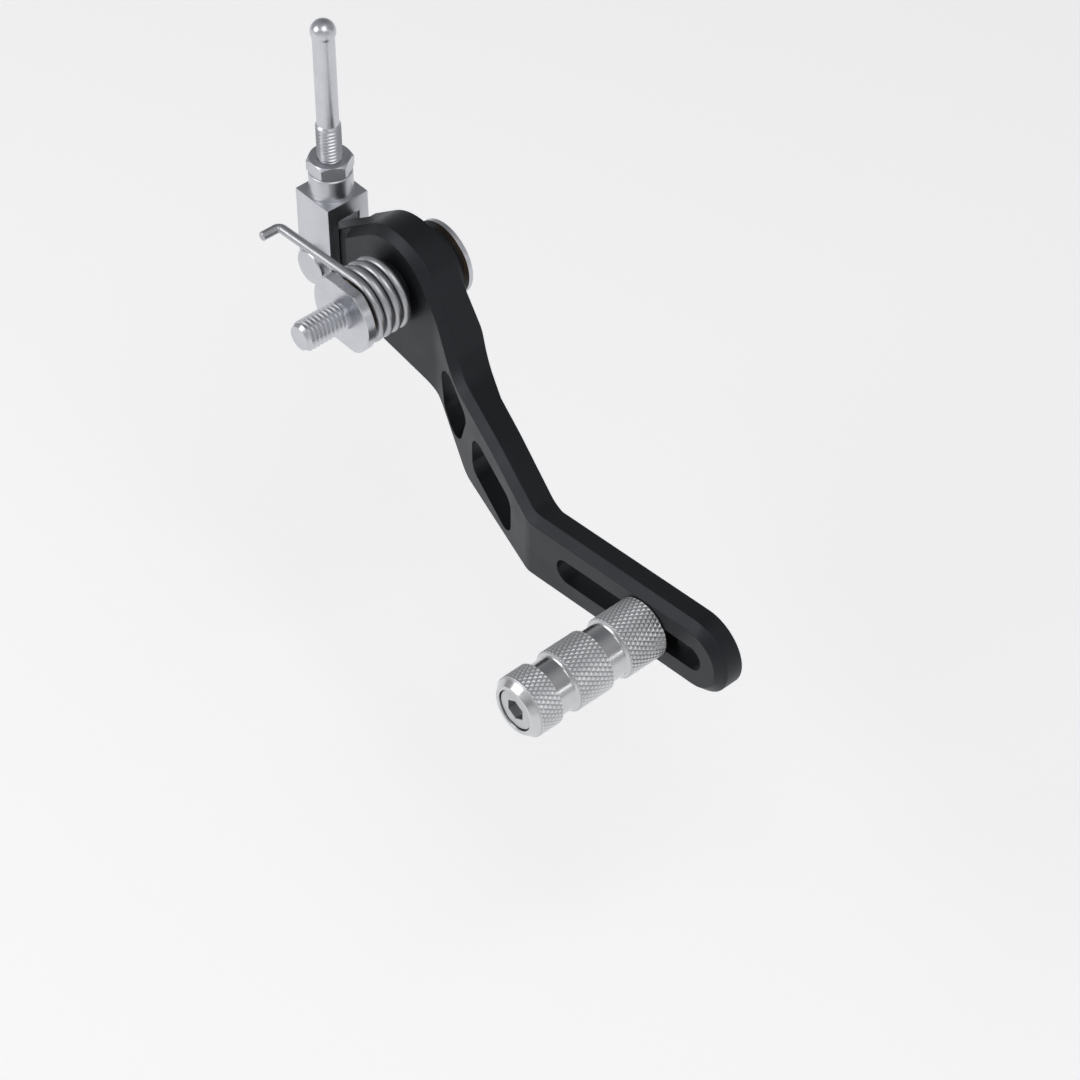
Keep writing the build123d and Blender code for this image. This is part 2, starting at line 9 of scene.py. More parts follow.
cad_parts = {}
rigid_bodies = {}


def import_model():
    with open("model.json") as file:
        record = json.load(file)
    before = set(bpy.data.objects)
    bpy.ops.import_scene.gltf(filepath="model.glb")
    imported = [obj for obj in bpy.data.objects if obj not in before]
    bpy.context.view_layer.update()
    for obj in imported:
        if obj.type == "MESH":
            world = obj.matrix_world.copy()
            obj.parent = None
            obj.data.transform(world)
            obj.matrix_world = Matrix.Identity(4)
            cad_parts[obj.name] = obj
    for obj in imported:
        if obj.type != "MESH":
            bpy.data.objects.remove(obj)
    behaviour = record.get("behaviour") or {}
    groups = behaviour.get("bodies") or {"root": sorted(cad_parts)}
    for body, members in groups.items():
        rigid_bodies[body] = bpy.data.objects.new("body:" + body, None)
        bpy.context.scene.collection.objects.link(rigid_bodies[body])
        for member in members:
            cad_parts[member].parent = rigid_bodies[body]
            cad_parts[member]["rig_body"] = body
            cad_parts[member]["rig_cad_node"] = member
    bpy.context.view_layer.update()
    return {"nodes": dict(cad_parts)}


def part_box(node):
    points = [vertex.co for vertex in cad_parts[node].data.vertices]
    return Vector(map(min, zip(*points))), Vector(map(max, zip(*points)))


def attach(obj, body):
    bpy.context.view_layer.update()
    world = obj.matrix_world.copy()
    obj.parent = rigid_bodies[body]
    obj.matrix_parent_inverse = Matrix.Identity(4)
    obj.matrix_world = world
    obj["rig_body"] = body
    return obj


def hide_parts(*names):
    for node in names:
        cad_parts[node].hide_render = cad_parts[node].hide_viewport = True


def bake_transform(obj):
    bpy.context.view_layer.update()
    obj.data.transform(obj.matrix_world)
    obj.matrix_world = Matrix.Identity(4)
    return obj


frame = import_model()

# Camera: outboard of the pedal, ahead of it and above it, close enough for some perspective.
# The view is turned 41 degrees forward from square-on and looks down by 45 degrees.
camera_azimuth = math.radians(41.461)
camera_elevation = math.radians(45.053)
camera_reach = 1.0
focal_pixels = 3453.0
frame_pixels = 1080.0
aim_pixel = (643.962, 626.138)
peg_foot = Vector((0.132, 0.004, -0.035))
to_camera = Vector((
    math.cos(camera_elevation) * math.cos(camera_azimuth),
    -math.cos(camera_elevation) * math.sin(camera_azimuth),
    math.sin(camera_elevation),
))
camera_right = Vector((math.sin(camera_azimuth), math.cos(camera_azimuth), 0))
camera_up = to_camera.cross(camera_right)
offset_right = (aim_pixel[0] - frame_pixels / 2) / focal_pixels * camera_reach
offset_up = -(aim_pixel[1] - frame_pixels / 2) / focal_pixels * camera_reach
bpy.ops.object.select_all(action="DESELECT")
bpy.ops.object.camera_add()
camera = bpy.context.object
camera.name = "camera"
camera.data.sensor_width = 36.0
camera.data.lens = focal_pixels / frame_pixels * camera.data.sensor_width
camera.data.clip_start = 0.01
camera.data.clip_end = 20.0
camera_place = peg_foot - camera_right * offset_right - camera_up * offset_up + to_camera * camera_reach
camera.matrix_world = Matrix((
    (camera_right.x, camera_up.x, to_camera.x, camera_place.x),
    (camera_right.y, camera_up.y, to_camera.y, camera_place.y),
    (camera_right.z, camera_up.z, to_camera.z, camera_place.z),
    (0, 0, 0, 1),
))
bpy.context.scene.camera = camera

# Studio: a plain pale floor well below the pedal, and a world lit in rings about a point above
# and behind it: dim there, bright across it and dimmer again beyond. That keeps the top faces
# dark, and gives turned metal its light and dark bands.
bpy.ops.mesh.primitive_plane_add(size=6.0, location=(0.05, 0, -0.16))
floor = bpy.context.object
floor.name = "studio_floor"
floor_paint = bpy.data.materials.new("studio_floor_paint")
floor_paint.use_nodes = True
floor_nodes = floor_paint.node_tree.nodes
floor_links = floor_paint.node_tree.links
floor_shader = floor_nodes["Principled BSDF"]
floor_shader.inputs["Base Color"].default_value = (0.80, 0.80, 0.80, 1)
floor_shader.inputs["Roughness"].default_value = 0.95
floor_shader.inputs["Specular IOR Level"].default_value = 0.1
floor_shader.inputs["Emission Color"].default_value = (0.38, 0.38, 0.38, 1)
floor_ray = floor_nodes.new("ShaderNodeLightPath")
floor_mirror = floor_nodes.new("ShaderNodeMath")
floor_mirror.operation = "MAXIMUM"
floor_seen = floor_nodes.new("ShaderNodeMath")
floor_seen.operation = "MAXIMUM"
floor_links.new(floor_ray.outputs["Is Glossy Ray"], floor_mirror.inputs[0])
floor_links.new(floor_ray.outputs["Is Transmission Ray"], floor_mirror.inputs[1])
floor_links.new(floor_ray.outputs["Is Camera Ray"], floor_seen.inputs[0])
floor_links.new(floor_mirror.outputs["Value"], floor_seen.inputs[1])
floor_links.new(floor_seen.outputs["Value"], floor_shader.inputs["Emission Strength"])
floor.data.materials.append(floor_paint)
above_and_behind = (-0.50, 0.53, 0.69)
# How near each ring is to that point, from 0 opposite it to 1, and how bright the ring is.
sky_rings = (
    (0.33, 0.34),
    (0.44, 0.60),
    (0.53, 0.80),
    (0.57, 0.36),
    (0.80, 0.42),
    (0.93, 0.34),
)
sky_blue = 1.03
studio = bpy.data.worlds.new("studio")
bpy.context.scene.world = studio
studio.use_nodes = True
studio_nodes = studio.node_tree.nodes
studio_links = studio.node_tree.links
sky = studio_nodes["Background"]
sky.inputs["Strength"].default_value = 1.0
sky_place = studio_nodes.new("ShaderNodeTexCoord")
sky_card = studio_nodes.new("ShaderNodeVectorMath")
sky_card.operation = "DOT_PRODUCT"
sky_card.inputs[1].default_value = above_and_behind
sky_share = studio_nodes.new("ShaderNodeMapRange")
sky_share.inputs["From Min"].default_value = -1.0
sky_share.inputs["From Max"].default_value = 1.0
sky_ramp = studio_nodes.new("ShaderNodeValToRGB")
sky_ramp.color_ramp.elements[0].position = 0.20
sky_ramp.color_ramp.elements[0].color = (0.70, 0.70, 0.71, 1)
sky_ramp.color_ramp.elements[1].position = 0.99
sky_ramp.color_ramp.elements[1].color = (0.20, 0.205, 0.215, 1)
for sky_position, sky_level in sky_rings:
    sky_stop = sky_ramp.color_ramp.elements.new(sky_position)
    sky_stop.color = (sky_level, sky_level, sky_level * sky_blue, 1)
studio_links.new(sky_place.outputs["Generated"], sky_card.inputs[0])
studio_links.new(sky_card.outputs["Value"], sky_share.inputs["Value"])
studio_links.new(sky_share.outputs["Result"], sky_ramp.inputs["Fac"])
studio_links.new(sky_ramp.outputs["Color"], sky.inputs["Color"])
lamp_aim = Vector((0.08, 0.0, -0.02))
for lamp_name, place, size, power in (
    ("outboard_softbox", (-0.44, -0.86, 0.60), 0.65, 3.2),
    ("front_strip", (1.13, 0.55, 0.35), 0.10, 0.11),
    ("overhead_fill", (0.55, -0.15, 0.95), 0.7, 2.6),
):
    bpy.ops.object.light_add(type="AREA", location=place)
    lamp = bpy.context.object
    lamp.name = lamp_name
    lamp.data.size = size
    lamp.data.energy = power
    lamp.rotation_euler = (lamp_aim - Vector(place)).to_track_quat("-Z", "Y").to_euler()
bpy.context.scene.view_settings.view_transform = "Standard"

# Pedal arm: one milled plate of aluminium, bent twice inboard, with all its edges just broken.
# It is bead blasted and anodised black, so it is an even satin that shows no brush marks.


def new_group(name, inputs, outputs):
    """A shader group with its named sockets, and the two nodes that they show up on."""
    group = bpy.data.node_groups.new(name, "ShaderNodeTree")
    for in_out, sockets in (("INPUT", inputs), ("OUTPUT", outputs)):
        for socket, kind in sockets.items():
            group.interface.new_socket(socket, in_out=in_out, socket_type=f"NodeSocket{kind}")
    return group, group.nodes.new("NodeGroupInput"), group.nodes.new("NodeGroupOutput")


fine_grain, grain_in, grain_out = new_group("fine_grain", {"Scale": "Float"}, {"Height": "Float"})
grain_place = fine_grain.nodes.new("ShaderNodeTexCoord")
grain_noise = fine_grain.nodes.new("ShaderNodeTexNoise")
grain_noise.inputs["Detail"].default_value = 2.0
fine_grain.links.new(grain_place.outputs["Object"], grain_noise.inputs["Vector"])
fine_grain.links.new(grain_in.outputs["Scale"], grain_noise.inputs["Scale"])
fine_grain.links.new(grain_noise.outputs["Fac"], grain_out.inputs["Height"])
cloudy_finish, cloud_in, cloud_out = new_group(
    "cloudy_finish", {"Scale": "Float", "Low": "Float", "High": "Float"}, {"Value": "Float"}
)
cloud_place = cloudy_finish.nodes.new("ShaderNodeTexCoord")
cloud_noise = cloudy_finish.nodes.new("ShaderNodeTexNoise")
cloud_noise.inputs["Detail"].default_value = 4.0
cloud_range = cloudy_finish.nodes.new("ShaderNodeMapRange")
cloud_range.inputs["From Min"].default_value = 0.3
cloud_range.inputs["From Max"].default_value = 0.7
cloudy_finish.links.new(cloud_place.outputs["Object"], cloud_noise.inputs["Vector"])
cloudy_finish.links.new(cloud_in.outputs["Scale"], cloud_noise.inputs["Scale"])
cloudy_finish.links.new(cloud_noise.outputs["Fac"], cloud_range.inputs["Value"])
cloudy_finish.links.new(cloud_in.outputs["Low"], cloud_range.inputs["To Min"])
cloudy_finish.links.new(cloud_in.outputs["High"], cloud_range.inputs["To Max"])
cloudy_finish.links.new(cloud_range.outputs["Result"], cloud_out.inputs["Value"])


def add_group(nodes, name, group, **values):
    """Places a shader group among a material's nodes, with its own values."""
    node = nodes.new("ShaderNodeGroup")
    node.name = name
    node.node_tree = group
    for socket, value in values.items():
        node.inputs[socket].default_value = value
    return node


def new_finish(name, colour, metal, grain_scale, grain_height, cloud_scale, roughness):
    """A finish with a fine grain, whose tone and gloss cloud a little over the surface."""
    tone_scale = cloud_scale * 0.6
    darker = 0.92
    lighter = 1.06
    finish = bpy.data.materials.new(name)
    finish.use_nodes = True
    nodes = finish.node_tree.nodes
    links = finish.node_tree.links
    shader = nodes["Principled BSDF"]
    shader.inputs["Metallic"].default_value = metal
    grain = add_group(nodes, "grain", fine_grain, Scale=grain_scale)
    bump = nodes.new("ShaderNodeBump")
    bump.name = "bump"
    bump.inputs["Strength"].default_value = 0.3
    bump.inputs["Distance"].default_value = grain_height
    links.new(grain.outputs["Height"], bump.inputs["Height"])
    links.new(bump.outputs["Normal"], shader.inputs["Normal"])
    clouds = add_group(
        nodes, "clouds", cloudy_finish, Scale=cloud_scale, Low=roughness[0], High=roughness[1]
    )
    links.new(clouds.outputs["Value"], shader.inputs["Roughness"])
    tone = add_group(nodes, "tone", cloudy_finish, Scale=tone_scale, Low=0.0, High=1.0)
    shades = nodes.new("ShaderNodeMix")
    shades.name = "shades"
    shades.data_type = "RGBA"
    shades.inputs["A"].default_value = (*[c * darker for c in colour], 1)
    shades.inputs["B"].default_value = (*[min(1.0, c * lighter) for c in colour], 1)
    links.new(tone.outputs["Value"], shades.inputs["Factor"])
    links.new(shades.outputs["Result"], shader.inputs["Base Color"])
    return finish


def even_shading(piece):
    """Shades round surfaces smooth, and keeps flat ones flat beside their narrow edge rounds."""
    bpy.ops.object.select_all(action="DESELECT")
    bpy.context.view_layer.objects.active = piece
    piece.select_set(True)
    bpy.ops.object.shade_smooth_by_angle(angle=math.radians(35))
    weighted = piece.modifiers.new("even_shading", "WEIGHTED_NORMAL")
    weighted.keep_sharp = True
    bpy.ops.object.modifier_apply(modifier=weighted.name)


def merged_copy(node, name, edge_width, edge_angle=30.0, clamp=True):
    """A copy of a CAD piece with its triangles joined and its sharp edges broken."""
    bpy.ops.object.select_all(action="DESELECT")
    piece = frame["nodes"][node].copy()
    piece.data = piece.data.copy()
    bpy.context.scene.collection.objects.link(piece)
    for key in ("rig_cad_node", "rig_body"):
        del piece[key]
    piece.parent = None
    piece.matrix_world = Matrix.Identity(4)
    piece.name = name
    piece.data.materials.clear()
    bpy.context.view_layer.objects.active = piece
    piece.select_set(True)
    bpy.ops.object.mode_set(mode="EDIT")
    bpy.ops.mesh.select_all(action="SELECT")
    bpy.ops.mesh.remove_doubles(threshold=2e-6)
    bpy.ops.mesh.customdata_custom_splitnormals_clear()
    bpy.ops.mesh.dissolve_limited(angle_limit=math.radians(0.5), delimit={"NORMAL"})
    bpy.ops.object.mode_set(mode="OBJECT")
    if edge_width:
        bevel = piece.modifiers.new("broken_edges", "BEVEL")
        bevel.width = edge_width
        bevel.segments = 2
        bevel.limit_method = "ANGLE"
        bevel.angle_limit = math.radians(edge_angle)
        bevel.use_clamp_overlap = clamp
        bpy.ops.object.modifier_apply(modifier=bevel.name)
    even_shading(piece)
    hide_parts(node)
    return piece


def fit_piece(piece, body, finish):
    """Gives a piece its finish, and the body that it moves with."""
    piece.data.materials.append(finish)
    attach(piece, body)


anodised = new_finish(
    "black_anodised_satin",
    (0.0055, 0.0055, 0.0065),
    metal=0.0,
    grain_scale=2200.0,
    grain_height=0.00007,
    cloud_scale=90.0,
    roughness=(0.40, 0.48),
)
anodised_shader = anodised.node_tree.nodes["Principled BSDF"]
anodised_shader.inputs["Specular IOR Level"].default_value = 0.41
anodised_shader.inputs["Specular Tint"].default_value = (0.86, 0.93, 1.0, 1)
milled_arm = merged_copy("pedal_arm", "milled_arm", edge_width=0.0002, edge_angle=25.0)
fit_piece(milled_arm, "pedal", anodised)

# Toe peg: a bar of aluminium turned with two grooves, then rolled with a coarse diamond knurl.
# The screw's head sits in a bore at its outer end, and a broad chamfer runs round that end.
# A hair's gap keeps its inner end off the arm, along which it slides.
inboard = (0, 1, 0)
across_bike = (math.pi / 2, 0, 0)
peg_low, peg_high = (Vector(corner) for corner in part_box("toe_peg"))
peg_axis = Vector(((peg_low.x + peg_high.x) / 2, 0, (peg_low.z + peg_high.z) / 2))
slide_gap = 0.00002
peg_face = peg_high.y - slide_gap
peg_radius = (peg_high.x - peg_low.x) / 2
bore_radius = 0.0042
counterbore_radius = 0.0067
counterbore_depth = 0.0105
groove_radius = 0.0086
groove_shoulder = 0.0095
# Where each knurled band starts, and how long it is.
knurled_bands = ((peg_face - 0.0004, 0.013), (peg_face - 0.0206, 0.0122), (peg_face - 0.04, 0.0075))
knurl_step = 0.00135
knurl_depth = 0.00029
crest_flat = 0.00032
ring_points = 80
turning_rings, rings_in, rings_out = new_group(
    "turning_rings", {"Place": "Vector", "Scale": "Float"}, {"Height": "Float", "Radius": "Float"}
)
rings_parts = turning_rings.nodes.new("ShaderNodeSeparateXYZ")
rings_flat = turning_rings.nodes.new("ShaderNodeVectorMath")
rings_flat.operation = "MULTIPLY"
rings_flat.inputs[1].default_value = (1, 1, 0)
rings_radius = turning_rings.nodes.new("ShaderNodeVectorMath")
rings_radius.operation = "LENGTH"
rings_sum = turning_rings.nodes.new("ShaderNodeMath")
rings_sum.operation = "ADD"
rings_noise = turning_rings.nodes.new("ShaderNodeTexNoise")
rings_noise.noise_dimensions = "1D"
rings_noise.inputs["Detail"].default_value = 1.0
turning_rings.links.new(rings_in.outputs["Place"], rings_parts.inputs["Vector"])
turning_rings.links.new(rings_in.outputs["Place"], rings_flat.inputs[0])
turning_rings.links.new(rings_flat.outputs["Vector"], rings_radius.inputs[0])
turning_rings.links.new(rings_radius.outputs["Value"], rings_sum.inputs[0])
turning_rings.links.new(rings_parts.outputs["Z"], rings_sum.inputs[1])
turning_rings.links.new(rings_sum.outputs["Value"], rings_noise.inputs["W"])
turning_rings.links.new(rings_in.outputs["Scale"], rings_noise.inputs["Scale"])
turning_rings.links.new(rings_noise.outputs["Fac"], rings_out.inputs["Height"])
turning_rings.links.new(rings_radius.outputs["Value"], rings_out.inputs["Radius"])


def lathe_start(name, centre, turn, radius, points, fill):
    """A ring or disc, in edit mode, from which a turned piece is drawn out."""
    bpy.ops.object.select_all(action="DESELECT")
    bpy.ops.mesh.primitive_circle_add(
        vertices=points, radius=radius, fill_type=fill, location=centre, rotation=turn
    )
    piece = bpy.context.object
    piece.name = name
    bpy.ops.object.transform_apply(location=True, rotation=True, scale=True)
    bpy.ops.object.mode_set(mode="EDIT")
    bpy.ops.mesh.select_all(action="SELECT")
    return piece


def lathe_to(profile, centre, along):
    """Draws the selected ring through a profile of radius and distance along an axis."""
    axis = Vector(along)
    square = [1 - abs(c) for c in axis]
    for (old_radius, old_place), (radius, place) in zip(profile, profile[1:]):
        bpy.ops.mesh.extrude_region_move(
            TRANSFORM_OT_translate={"value": axis * (place - old_place)}
        )
        grow = radius / old_radius
        if abs(grow - 1) > 1e-9:
            bpy.ops.transform.resize(
                value=[grow * s + (1 - s) for s in square],
                center_override=Vector(centre) + axis * place,
            )


def lathe_close(sharp_angle):
    """Joins points that meet, turns the faces outwards and smooths the curves."""
    bpy.ops.mesh.select_all(action="SELECT")
    bpy.ops.mesh.remove_doubles(threshold=1e-6)
    bpy.ops.mesh.normals_make_consistent(inside=False)
    bpy.ops.object.mode_set(mode="OBJECT")
    bpy.ops.object.shade_smooth_by_angle(angle=math.radians(sharp_angle))


def pick_points(piece, indices):
    """Selects points of a mesh by number and leaves it in edit mode."""
    bpy.ops.object.mode_set(mode="EDIT")
    bpy.ops.mesh.select_all(action="DESELECT")
    bpy.ops.object.mode_set(mode="OBJECT")
    bpy.context.tool_settings.mesh_select_mode = (True, False, False)
    for index in indices:
        piece.data.vertices[index].select = True
    bpy.ops.object.mode_set(mode="EDIT")


# Radius, and distance past the band before the groove.
groove_shape = (
    (groove_shoulder, 0.00032),
    (0.00905, 0.0006),
    (0.0088, 0.0008),
    (0.00866, 0.00098),
    (groove_radius, 0.0013),
    (groove_radius, 0.0014),
    (groove_radius, 0.00666),
    (groove_radius, 0.00672),
    (0.00866, 0.00682),
    (0.0088, 0.00688),
    (0.00925, 0.00692),
    (groove_shoulder, 0.00698),
)
# Radius, and distance in from the peg's outer end.
outer_end_shape = (
    (0.00988, 0.00236),
    (0.00980, 0.002262),
    (0.00804, 0.000167),
    (0.00796, 0.00008),
    (0.00786, 0.00002),
    (0.00774, 0),
    (0.00685, 0),
    (counterbore_radius, 0.00012),
)
peg_profile = [(bore_radius, peg_face), (0.0094, peg_face), (0.0097, peg_face - 0.0002)]
for band, (band_start, band_length) in enumerate(knurled_bands):
    steps = round(band_length / knurl_step)
    for step in range(steps + 1):
        peg_profile.append((peg_radius, band_start - band_length * step / steps))
    if band < len(knurled_bands) - 1:
        groove = band_start - band_length
        peg_profile += [(radius, groove - distance) for radius, distance in groove_shape]
peg_profile += [(radius, peg_low.y + distance) for radius, distance in outer_end_shape]
peg_profile += [
    (counterbore_radius, peg_low.y + counterbore_depth),
    (bore_radius, peg_low.y + counterbore_depth),
    (bore_radius, peg_face),
]
peg_start = peg_axis + Vector((0, peg_face, 0))
peg = lathe_start("knurled_peg", peg_start, across_bike, bore_radius, ring_points, "NOTHING")
lathe_to(peg_profile, peg_axis, inboard)
lathe_close(sharp_angle=24)
pits = []
crests = []
for point in peg.data.vertices:
    radius = math.hypot(point.co.x - peg_axis.x, point.co.z - peg_axis.z)
    turn = math.atan2(point.co.z - peg_axis.z, point.co.x - peg_axis.x)
    across = round(turn / math.tau * ring_points)
    for band_start, band_length in knurled_bands:
        steps = round(band_length / knurl_step)
        along = (band_start - point.co.y) / band_length * steps
        if -0.01 < along < steps + 0.01 and radius > peg_radius - 1e-5:
            (pits if (round(along) + across) % 2 == 0 else crests).append(point.index)
pick_points(peg, pits)
pit_share = 1 - knurl_depth / peg_radius
bpy.ops.transform.resize(value=(pit_share, 1, pit_share), center_override=peg_axis)
bpy.ops.mesh.select_all(action="SELECT")
bpy.ops.mesh.quads_convert_to_tris(quad_method="SHORTEST_DIAGONAL")
bpy.ops.object.mode_set(mode="OBJECT")
pick_points(peg, crests)
bpy.ops.mesh.bevel(offset=crest_flat, segments=1, affect="VERTICES")
bpy.ops.object.mode_set(mode="OBJECT")
bpy.ops.object.shade_smooth_by_angle(angle=math.radians(20))
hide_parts("toe_peg")


def turned_finish(name, colour, centre, turn, rings_scale, roughness):
    """A metal finish with fine rings left by turning, about an axis of its own."""
    finish = new_finish(
        name,
        colour,
        metal=1.0,
        grain_scale=3000.0,
        grain_height=0.000006,
        cloud_scale=150.0,
        roughness=roughness,
    )
    nodes = finish.node_tree.nodes
    links = finish.node_tree.links
    place = nodes.new("ShaderNodeTexCoord")
    centred = nodes.new("ShaderNodeMapping")
    centred.name = "centred"
    centred.vector_type = "TEXTURE"
    centred.inputs["Location"].default_value = centre
    centred.inputs["Rotation"].default_value = turn
    rings = add_group(nodes, "rings", turning_rings, Scale=rings_scale)
    lines = nodes.new("ShaderNodeBump")
    lines.inputs["Strength"].default_value = 0.12
    lines.inputs["Distance"].default_value = 0.00001
    links.new(place.outputs["Object"], centred.inputs["Vector"])
    links.new(centred.outputs["Vector"], rings.inputs["Place"])
    links.new(rings.outputs["Height"], lines.inputs["Height"])
    links.new(nodes["bump"].outputs["Normal"], lines.inputs["Normal"])
    links.new(lines.outputs["Normal"], nodes["Principled BSDF"].inputs["Normal"])
    return finish


turned = turned_finish(
    "bare_turned_aluminium",
    (0.80, 0.805, 0.815),
    peg_axis,
    across_bike,
    rings_scale=9000.0,
    roughness=(0.18, 0.25),
)
turned_nodes = turned.node_tree.nodes
# Painted shade: the base colour is darkened by radius. It is darkest in the knurl's pits, so that the
# valleys show as thin dark lines, and light on the crests. The grooves, chamfers and ends, which lie
# below the knurl, get a lower tone as well.
painted_shade_ramp = turned_nodes.new("ShaderNodeValToRGB")
painted_shade_ramp.color_ramp.elements[0].position = 0.945
painted_shade_ramp.color_ramp.elements[0].color = (0.76, 0.76, 0.76, 1)
painted_shade_ramp.color_ramp.elements[1].position = 0.988
painted_shade_ramp.color_ramp.elements[1].color = (1, 1, 1, 1)
painted_pit_shade = painted_shade_ramp.color_ramp.elements.new(0.970)
painted_pit_shade.color = (0.58, 0.58, 0.59, 1)
radius_share = turned_nodes.new("ShaderNodeMath")
radius_share.operation = "DIVIDE"
radius_share.inputs[1].default_value = peg_radius
pit_shade = turned_nodes.new("ShaderNodeMix")
pit_shade.data_type = "RGBA"
pit_shade.blend_type = "MULTIPLY"
pit_shade.inputs["Factor"].default_value = 1.0
turned_links = turned.node_tree.links
turned_links.new(turned_nodes["rings"].outputs["Radius"], radius_share.inputs[0])
turned_links.new(radius_share.outputs["Value"], painted_shade_ramp.inputs["Fac"])
turned_links.new(turned_nodes["shades"].outputs["Result"], pit_shade.inputs["A"])
turned_links.new(painted_shade_ramp.outputs["Color"], pit_shade.inputs["B"])
turned_links.new(pit_shade.outputs["Result"], turned_nodes["Principled BSDF"].inputs["Base Color"])
knurl_gloss = turned_nodes.new("ShaderNodeMapRange")
knurl_gloss.inputs["From Min"].default_value = 0.935
knurl_gloss.inputs["From Max"].default_value = 0.96
knurl_gloss.inputs["To Min"].default_value = 0.0
knurl_gloss.inputs["To Max"].default_value = 0.26
gloss_sum = turned_nodes.new("ShaderNodeMath")
gloss_sum.operation = "ADD"
turned_links.new(radius_share.outputs["Value"], knurl_gloss.inputs["Value"])
turned_links.new(knurl_gloss.outputs["Result"], gloss_sum.inputs[0])
turned_links.new(turned_nodes["clouds"].outputs["Value"], gloss_sum.inputs[1])
turned_links.new(gloss_sum.outputs["Value"], turned_nodes["Principled BSDF"].inputs["Roughness"])
fit_piece(peg, "peg", turned)

# Peg screw: a stainless M8 cap screw, turned and thread rolled, its hexagon socket punched.
# It lies flush in the peg's bore and clamps the peg through the slot into the slot nut.
m8_radius = 0.004
m8_tip_radius = 0.0033
m8_pitch = 0.00125
m8_depth = 0.0007
head_height = 0.008
screw_thread_end = 0.0085
hexagon_key = 0.006
thread_points = 48
thread_steps = 8


def thread_profile(radius, start, end, pitch):
    """Rings for a threaded stretch, an eighth of the pitch apart."""
    count = int(abs(end - start) / pitch * thread_steps)
    step = math.copysign(pitch / thread_steps, end - start)
    return [(radius, start + step * ring) for ring in range(count + 1)]


def cut_thread(piece, centre, axis, rings, pitch, depth):
    """Presses a right-hand thread into the rings of a turned piece, round the Y or Z axis."""
    root_width = 1.25
    low = min(place for _, place in rings) - 1e-6
    high = max(place for _, place in rings) + 1e-6
    major = rings[0][0]
    square = Vector((1, 1, 1)) - Vector(axis)
    points = []
    for point in piece.data.vertices:
        offset = point.co - Vector(centre)
        place = point.co.dot(Vector(axis))
        flat = offset - Vector(axis) * offset.dot(Vector(axis))
        if low < place < high and abs(flat.length - major) < 1e-5:
            turn = math.atan2(flat.x, flat.z) if axis[1] else math.atan2(flat.y, flat.x)
            notch = round(turn / math.tau * thread_points)
            points.append((point.index, place, notch))
    skew = thread_points // thread_steps
    for lag in range(1, skew):
        pick_points(piece, [index for index, _, notch in points if notch % skew == lag])
        bpy.ops.transform.translate(value=Vector(axis) * (pitch / thread_steps * lag / skew))
        bpy.ops.object.mode_set(mode="OBJECT")
    levels = {}
    for index, place, notch in points:
        lag = notch % skew
        phase = round((place - rings[0][1]) / pitch * thread_steps) - (notch - lag) // skew
        level = 1 - abs(phase % thread_steps - thread_steps // 2) / (thread_steps // 2)
        levels.setdefault(round(min(1.0, root_width * level), 3), []).append(index)
    for level, indices in levels.items():
        if level > 0:
            pick_points(piece, indices)
            shrink = 1 - depth * level / major
            bpy.ops.transform.resize(
                value=[shrink * s + (1 - s) for s in square], center_override=centre
            )
            bpy.ops.object.mode_set(mode="OBJECT")
    pick_points(piece, [index for index, _, _ in points])
    bpy.ops.mesh.select_mode(type="VERT")
    bpy.ops.mesh.quads_convert_to_tris(quad_method="SHORTEST_DIAGONAL")
    bpy.ops.object.mode_set(mode="OBJECT")


def sink_hexagon(piece, radius, centre, turn, depth):
    """Presses a six-sided punch into a piece, to leave a socket for a key."""
    bpy.ops.object.select_all(action="DESELECT")
    bpy.ops.mesh.primitive_cylinder_add(
        vertices=6, radius=radius, depth=2 * depth, location=centre, rotation=turn
    )
    bpy.ops.object.transform_apply(location=True, rotation=True, scale=True)
    punch = bpy.context.object
    bpy.context.view_layer.objects.active = piece
    hollow = piece.modifiers.new("socket", "BOOLEAN")
    hollow.object = punch
    hollow.operation = "DIFFERENCE"
    hollow.solver = "EXACT"
    bpy.ops.object.modifier_apply(modifier=hollow.name)
    bpy.data.objects.remove(punch, do_unlink=True)


screw_low, screw_high = (Vector(corner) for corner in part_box("peg_screw"))
head_radius = (screw_high.x - screw_low.x) / 2
screw_thread = thread_profile(m8_radius, screw_high.y - m8_depth, screw_thread_end, m8_pitch)
screw_profile = [
    (m8_tip_radius, screw_high.y),
    (m8_radius, screw_high.y - m8_depth),
    *screw_thread[1:],
    (m8_radius, screw_low.y + head_height),
    (head_radius - 0.0002, screw_low.y + head_height),
    (head_radius, screw_low.y + head_height - 0.0002),
    (head_radius, screw_low.y + 0.0005),
    (head_radius - 0.00015, screw_low.y + 0.00015),
    (head_radius - 0.0005, screw_low.y),
    (0.0046, screw_low.y),
]
screw = lathe_start(
    "socket_screw",
    peg_axis + Vector((0, screw_high.y, 0)),
    across_bike,
    m8_tip_radius,
    thread_points,
    "NGON",
)
lathe_to(screw_profile, peg_axis, inboard)
lathe_close(sharp_angle=28)
cut_thread(screw, peg_axis, inboard, screw_thread, m8_pitch, m8_depth)
socket_radius = hexagon_key / math.sqrt(3)
sink_hexagon(screw, socket_radius, peg_axis + Vector((0, screw_low.y, 0)), across_bike, depth=0.004)
socket_rim = []
for point in screw.data.vertices:
    radius = math.hypot(point.co.x - peg_axis.x, point.co.z - peg_axis.z)
    if abs(point.co.y - screw_low.y) < 1e-5 and radius < socket_radius + 1e-5:
        socket_rim.append(point.index)
pick_points(screw, socket_rim)
bpy.ops.mesh.bevel(offset=0.00016, segments=1, affect="EDGES")
bpy.ops.object.mode_set(mode="OBJECT")
even_shading(screw)
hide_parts("peg_screw")
steel_colour = (0.56, 0.565, 0.57)
stainless = turned_finish(
    "stainless_steel", steel_colour, peg_axis, across_bike, rings_scale=6000.0, roughness=(0.3, 0.38)
)
fit_piece(screw, "peg", stainless)

